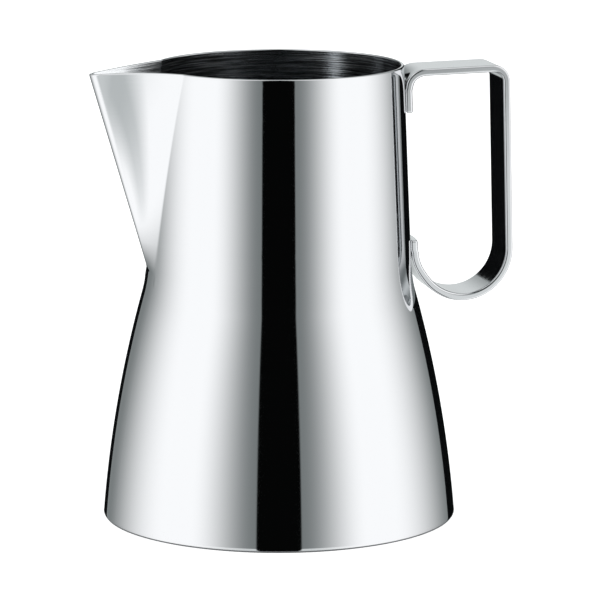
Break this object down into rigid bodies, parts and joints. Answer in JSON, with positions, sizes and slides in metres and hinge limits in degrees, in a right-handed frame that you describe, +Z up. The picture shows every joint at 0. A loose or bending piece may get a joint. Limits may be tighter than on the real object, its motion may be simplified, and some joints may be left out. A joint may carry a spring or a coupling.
{
  "type": "cream jug",
  "caption": "Polished sheet-metal cream jug: waisted tapering body, tall V spout let into the front, and a flat strip handle bent to a squared hook.",
  "frame": {"origin": "centre of the flat face the jug stands on, on the body's axis", "axes": "+Z up along the body's axis, -X towards the spout's lip, +X towards the handle, +Y sideways"},
  "size_m": [0.0937, 0.0778, 0.1],
  "materials": {
    "polished_sheet": "mirror-polished stainless steel outside, brushed by use inside",
    "pan_sheet": "satin stainless steel sheet",
    "polished_strip": "polished stainless steel strip with eased edges"
  },
  "bodies": {
    "root": {"wall": "polished_sheet", "spout": "polished_sheet", "base_pan": "pan_sheet", "handle_strip": "polished_strip"}
  },
  "joints": []
}
